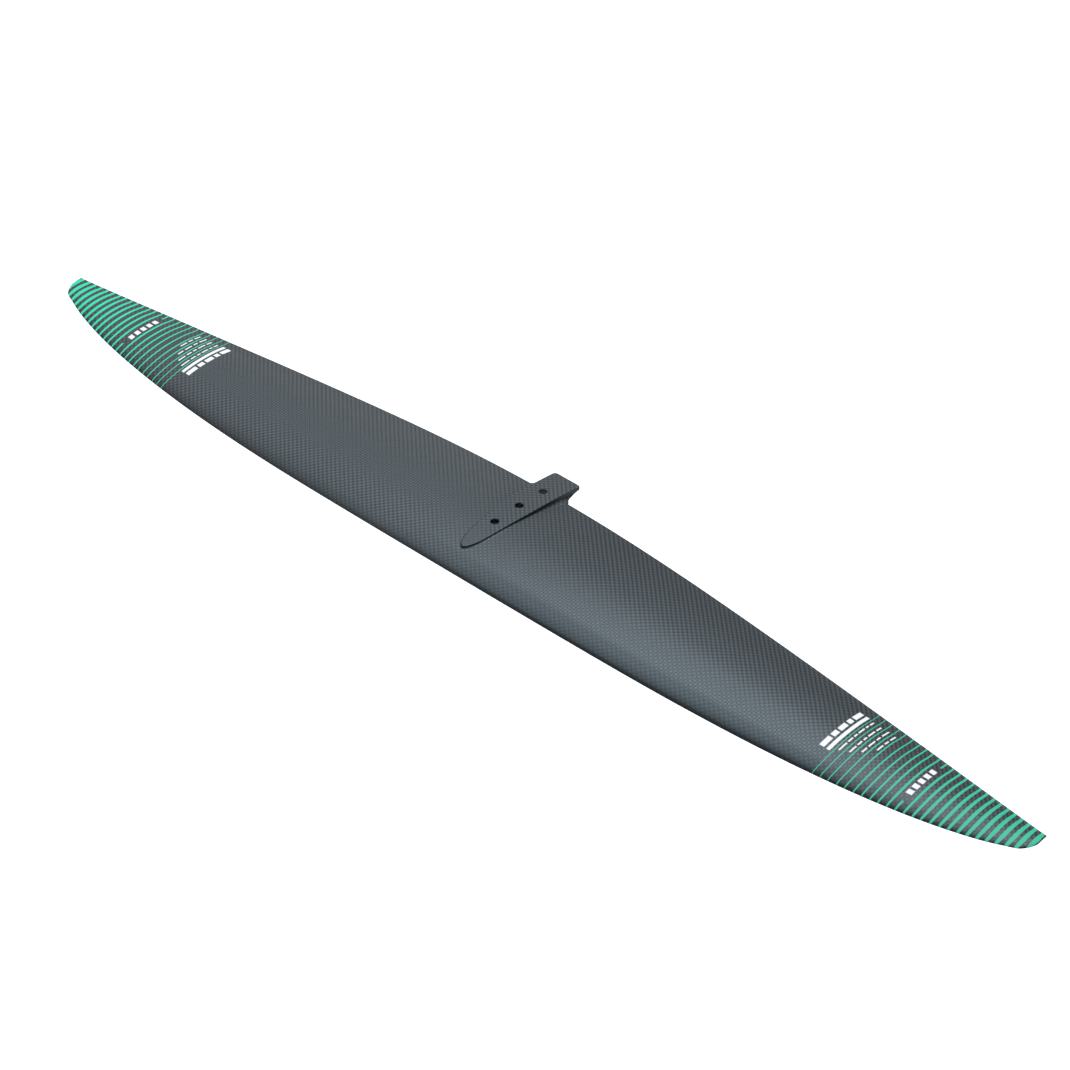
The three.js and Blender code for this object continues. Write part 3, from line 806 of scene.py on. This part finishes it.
pad = make_pad()
holes = []
for y in SCREW_Y:
    zf = float(face_z(y)) * K
    holes.append(turned("cutter", [(0, -40), (HOLE_R * K, -40), (HOLE_R * K, zf - .35), (HOLE_R * K + .9, zf + .55), (HOLE_R * K + .9, 20), (0, 20)], (0.0, y * K)))
cut(pad, *holes)
smooth(pad, 38)
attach(pad, "root"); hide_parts("mounting_pad")


# ---------------------------------------------------------------------------
# Tip stripes and markings: thin separate pieces that follow the skin
# ---------------------------------------------------------------------------
def ribbon(V, F, centre, width, path, lift=.045, sink=.06):
    """One closed strip. path: list of (s, upper); centre(s), width(s) give the spanwise middle and width at chord s."""
    cols = 4
    n = len(path)
    start = len(V)
    for s, up in path:
        c0, w0 = centre(s), width(s)
        for k in range(cols):
            x = c0 + w0 * (k / (cols - 1) - .5)
            x = max(-TIP_X * K + .02, min(TIP_X * K - .02, x))
            V.append(surf(x, s, up, off=lift / K))
    for s, up in path:
        c0, w0 = centre(s), width(s)
        for k in range(cols):
            x = c0 + w0 * (k / (cols - 1) - .5)
            x = max(-TIP_X * K + .02, min(TIP_X * K - .02, x))
            V.append(surf(x, s, up, off=-sink / K))
    T = lambda i, k: start + i * cols + k
    Bt = lambda i, k: start + n * cols + i * cols + k
    for i in range(n - 1):
        for k in range(cols - 1):
            F.append([T(i, k), T(i, k + 1), T(i + 1, k + 1), T(i + 1, k)])
            F.append([Bt(i, k), Bt(i + 1, k), Bt(i + 1, k + 1), Bt(i, k + 1)])
        F.append([T(i, 0), T(i + 1, 0), Bt(i + 1, 0), Bt(i, 0)])
        F.append([T(i, cols - 1), Bt(i, cols - 1), Bt(i + 1, cols - 1), T(i + 1, cols - 1)])
    for k in range(cols - 1):
        F.append([T(0, k), Bt(0, k), Bt(0, k + 1), T(0, k + 1)])
        F.append([T(n - 1, k), T(n - 1, k + 1), Bt(n - 1, k + 1), Bt(n - 1, k)])


STRIPE_TE = np.array([412.7, 420.4, 428.1, 436.7, 444.5, 453.2, 461.3, 469.3, 476.8, 485.1, 493.2, 501.2, 509.4, 517.,
                      525.4, 533.6, 541.3, 549.7, 557.5, 566.0, 573.9, 582., 590.2, 598.0, 606.4])
_bow = pchip([0, .1, .25, .5, .75, .9, 1], [.50, .72, .82, .53, .20, .08, 0])


def bow(s):
    """Outboard bow of the stripes between the edges."""
    return float(_bow(min(max(s, 0), 1)))


def nose_path():
    """From the trailing edge over the top, round the nose and a little way under it."""
    q = np.linspace(1, 0, 46)
    p = [(float(v * v), True) for v in q[:-1]]
    p += [(0.0, True)]
    p += [(float(v * v), False) for v in np.linspace(0, .21, 9)[1:]]
    return p


def stripe_width(i, s):
    w = .85 + (4.55 - .85) * i / 24
    edge = .75 + .25 * math.sin(math.pi * min(max(s, 0), 1)**.8)
    return w * edge


def make_stripes(side, name):
    V, F = [], []
    for i, xt in enumerate(STRIPE_TE):
        def centre(s, xt=xt):
            return side * (xt + bow(s))
        path = nose_path()
        parts = [path]
        if i == 10:                                  # broken by the lettering zone
            parts = [[p for p in path if p[1] and p[0] >= .85], [p for p in path if (p[0] <= .15) or not p[1]]]
        for p in parts:
            ribbon(V, F, centre, lambda s, i=i: stripe_width(i, s), p)
    V = np.array(V)
    if side < 0:
        F = [f[::-1] for f in F]
    # a strip drawn with increasing x and falling s faces down: turn it
    F = [f[::-1] for f in F]
    ob = new_object(name, to_row(V), F, [GREEN])
    return ob


def outward(ob):
    bm = bmesh.new(); bm.from_mesh(ob.data)
    bmesh.ops.recalc_face_normals(bm, faces=bm.faces)
    bm.to_mesh(ob.data); bm.free(); ob.data.update()


for side, tag in ((1, "right"), (-1, "left")):
    o = make_stripes(side, f"tip_stripes_{tag}")
    outward(o); smooth(o, 50)
    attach(o, "root")


def block(V, F, side, x0, x1, s0, s1, cut_corner=0.0):
    """A plain printed block from x0 to x1 along the span and s0 to s1 along the chord."""
    n = max(2, int(abs(s1 - s0) * 60))
    path = [(float(s0 + (s1 - s0) * k / n), True) for k in range(n + 1)]
    ribbon(V, F, lambda s: side * ((x0 + x1) / 2 - 1.25 * (s - .58)), lambda s: abs(x1 - x0), path, lift=.05)


def words(V, F, side, x0, x1, s0, s1, lengths, gap):
    """A row of plain bars standing for a line of print."""
    total = sum(lengths) + gap * (len(lengths) - 1)
    k = (s1 - s0) / total
    s = s0
    for L in lengths:
        block(V, F, side, x0, x1, s, s + L * k)
        s += (L + gap) * k


for side, tag in ((1, "right"), (-1, "left")):
    V, F = [], []
    block(V, F, side, 406.8, 410.4, .28, .88)
    words(V, F, side, 399.2, 404.3, .285, .875, [6, 3.4, 4.6, 2.6, 5.4], 1.2)
    for x, s0, s1, L in ((416.5, .335, .864, [4, 2.4, 1.6, 3, 1.4, 2]), (425.0, .374, .865, [3, 2, 1.5, 3, 2.2]),
                         (433.1, .447, .879, [2, 2.6, 1.5, 2.8]), (441.3, .571, .873, [2.4, 1.5, 2.2])):
        words(V, F, side, x - .78, x + .78, s0, s1, L, .7)
    words(V, F, side, 489.7, 495.7, .26, .77, [3, 3, 3, 3, 3], 1.7)
    o = new_object(f"tip_marks_{tag}", to_row(np.array(V)), F, [WHITE])
    outward(o); smooth(o, 50)
    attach(o, "root")


# ---------------------------------------------------------------------------
# Carried-over CAD pieces: materials
# ---------------------------------------------------------------------------
LAM, FOAM, RESIN = laminate("laminate_ud"), foam("core_foam"), resin("bond_paste")


def assign(node, mat):
    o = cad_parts[node]
    o.data.materials.clear()
    o.data.materials.append(mat)


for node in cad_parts:
    if node in ("upper_skin", "lower_skin", "mounting_pad"):
        continue
    if "core" in node:
        assign(node, FOAM)
    elif "filler" in node:
        assign(node, RESIN)
    elif node.startswith("screw_seat"):
        lo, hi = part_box(node)
        assign(node, turned_steel(f"turned_{node}", (lo[1] + hi[1]) / 2, (lo[2] + hi[2]) / 2))
    else:
        assign(node, LAM)


# ---------------------------------------------------------------------------
# Floor and light
# ---------------------------------------------------------------------------
def make_floor():
    z = min(CAD_BOX[0][2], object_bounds()[0][2]) - .95
    s = 60.0
    ob = new_object("floor", [(-s, -s, z), (s, -s, z), (s, s, z), (-s, s, z)], [(0, 1, 2, 3)])
    g = Graph("floor_paper")
    vec, xyz = g.object_xyz()
    n = g.noise(vec, 2.0, 2)
    g.set(Base_Color=g.mix(n, (.925, .925, .925, 1), (.94, .94, .94, 1)), Roughness=.9, Specular_IOR_Level=.1,
          Emission_Color=(1, 1, 1, 1), Emission_Strength=.42)
    ob.data.materials.append(g.mat)


def area(name, loc, aim, size, power, colour=(1, 1, 1), size_y=None):
    li = bpy.data.lights.new(name, "AREA")
    li.shape = "RECTANGLE"; li.size = size; li.size_y = size_y or size
    li.energy = power; li.color = colour
    ob = bpy.data.objects.new(name, li)
    SCN.collection.objects.link(ob)
    ob.location = loc
    ob.rotation_mode = "QUATERNION"
    ob.rotation_quaternion = (Vector(aim) - Vector(loc)).to_track_quat("-Z", "Y")
    return ob


make_floor()
area("overhead", (-1.0, 1.15, 4.2), (0, 0, 0), 3.0, 225, (.96, .985, 1.0))
area("front", (2.6, -3.0, 2.2), (0, 0, 0), 2.5, 12, (1.0, .99, .97))
world = bpy.data.worlds.new("studio"); SCN.world = world
world.use_nodes = True
bg = world.node_tree.nodes.get("Background") or world.node_tree.nodes.new("ShaderNodeBackground")
bg.inputs[0].default_value = (.97, .985, 1.0, 1)
bg.inputs[1].default_value = .45

SCN.view_settings.view_transform = "Standard"
SCN.view_settings.look = "None"
SCN.view_settings.exposure = 0.0
SCN.view_settings.gamma = 1.0
